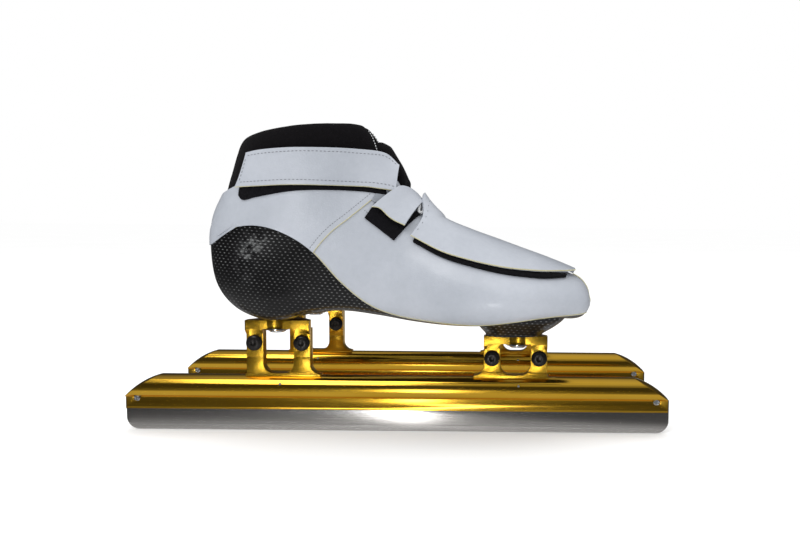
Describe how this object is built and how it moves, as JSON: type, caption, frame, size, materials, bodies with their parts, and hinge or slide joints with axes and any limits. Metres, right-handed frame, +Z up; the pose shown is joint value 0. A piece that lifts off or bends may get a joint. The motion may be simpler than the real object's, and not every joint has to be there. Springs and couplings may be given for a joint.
{
  "type": "pair of speed skates",
  "caption": "Pair of short-track speed skates: moulded carbon and leather boots with strap closures, bolted on slotted brackets over tube-held steel runners.",
  "frame": {"origin": "on the ice, midway between the two runners and at the middle of their length", "axes": "+X towards the toes, +Y towards the wearer's left, +Z up"},
  "size_m": [0.432, 0.2038, 0.2412],
  "materials": {
    "blade_steel": "ground and honed",
    "gold_anodised": "gold anodised, satin",
    "bright_steel": "bright plated",
    "black_steel": "black oxide",
    "carbon": "clear-coated carbon weave",
    "white_leather": "grained white leather with a slight gloss",
    "black_fabric": "black knitted lining, padded",
    "insole_foam": "fabric-topped foam",
    "loop_tape": "black loop pile",
    "lace_cord": "braided cord"
  },
  "bodies": {
    "right_skate": {"right_runner": "blade_steel", "right_tube": "gold_anodised", "right_rear_pin": "bright_steel", "right_rear_cup": "gold_anodised", "right_rear_bracket": "gold_anodised", "right_rear_clamp_screw_heelward": "black_steel", "right_rear_clamp_screw_toeward": "black_steel", "right_front_pin": "bright_steel", "right_front_cup": "gold_anodised", "right_front_bracket": "gold_anodised", "right_front_clamp_screw_heelward": "black_steel", "right_front_clamp_screw_toeward": "black_steel"},
    "right_boot": {"right_boot_shell": "carbon", "right_front_mount_block": "carbon", "right_upper": "white_leather", "right_collar_lining": "black_fabric", "right_tongue": "black_fabric", "right_insole": "insole_foam", "right_lace": "lace_cord", "right_ankle_loop_band": "loop_tape", "right_ankle_strap_anchor": "white_leather", "right_instep_loop_patch": "loop_tape", "right_cover_loop_band": "loop_tape", "right_rear_mounting_bolt": "bright_steel", "right_rear_bolt_washer": "bright_steel", "right_front_mounting_bolt": "bright_steel", "right_front_bolt_washer": "bright_steel"},
    "right_ankle_flap": {"right_ankle_strap": "white_leather"},
    "right_instep_flap": {"right_instep_strap": "white_leather"},
    "right_cover_flap": {"right_lace_cover": "white_leather"},
    "left_skate": {"left_runner": "blade_steel", "left_tube": "gold_anodised", "left_rear_pin": "bright_steel", "left_rear_cup": "gold_anodised", "left_rear_bracket": "gold_anodised", "left_rear_clamp_screw_heelward": "black_steel", "left_rear_clamp_screw_toeward": "black_steel", "left_front_pin": "bright_steel", "left_front_cup": "gold_anodised", "left_front_bracket": "gold_anodised", "left_front_clamp_screw_heelward": "black_steel", "left_front_clamp_screw_toeward": "black_steel"},
    "left_boot": {"left_boot_shell": "carbon", "left_front_mount_block": "carbon", "left_upper": "white_leather", "left_collar_lining": "black_fabric", "left_tongue": "black_fabric", "left_insole": "insole_foam", "left_lace": "lace_cord", "left_ankle_loop_band": "loop_tape", "left_ankle_strap_anchor": "white_leather", "left_instep_loop_patch": "loop_tape", "left_cover_loop_band": "loop_tape", "left_rear_mounting_bolt": "bright_steel", "left_rear_bolt_washer": "bright_steel", "left_front_mounting_bolt": "bright_steel", "left_front_bolt_washer": "bright_steel"},
    "left_ankle_flap": {"left_ankle_strap": "white_leather"},
    "left_instep_flap": {"left_instep_strap": "white_leather"},
    "left_cover_flap": {"left_lace_cover": "white_leather"}
  },
  "joints": [
    {"name": "right_boot_offset", "type": "slide", "parent": "right_skate", "child": "right_boot", "axis": [0, 1, 0], "range_m": [0, 0.006]},
    {"name": "right_ankle_strap_hinge", "type": "hinge", "parent": "right_boot", "child": "right_ankle_flap", "pos_m": [0.00147, -0.06845, 0.1997], "axis": [-0.0014, 0.4334, 0.9012], "range_deg": [0, 110]},
    {"name": "right_instep_strap_hinge", "type": "hinge", "parent": "right_boot", "child": "right_instep_flap", "pos_m": [0.01598, -0.03521, 0.17701], "axis": [-0.7667, -0.0248, 0.6415], "range_deg": [0, 110]},
    {"name": "right_lace_cover_hinge", "type": "hinge", "parent": "right_boot", "child": "right_cover_flap", "pos_m": [0.08905, -0.03025, 0.14425], "axis": [-0.9511, 0.0128, 0.3085], "range_deg": [0, 75]},
    {"name": "left_boot_offset", "type": "slide", "parent": "left_skate", "child": "left_boot", "axis": [0, 1, 0], "range_m": [0, 0.006]},
    {"name": "left_ankle_strap_hinge", "type": "hinge", "parent": "left_boot", "child": "left_ankle_flap", "pos_m": [-0.01153, 0.06845, 0.1997], "axis": [0.0014, 0.4334, -0.9012], "range_deg": [0, 110]},
    {"name": "left_instep_strap_hinge", "type": "hinge", "parent": "left_boot", "child": "left_instep_flap", "pos_m": [0.00298, 0.03521, 0.17701], "axis": [0.7667, -0.0248, -0.6415], "range_deg": [0, 110]},
    {"name": "left_lace_cover_hinge", "type": "hinge", "parent": "left_boot", "child": "left_cover_flap", "pos_m": [0.07605, 0.03025, 0.14425], "axis": [0.9511, 0.0128, -0.3085], "range_deg": [0, 75]},
    {"name": "left_skate_glide", "type": "slide", "parent": "right_skate", "child": "left_skate", "axis": [1, 0, 0], "range_m": [-0.2, 0.2]}
  ]
}
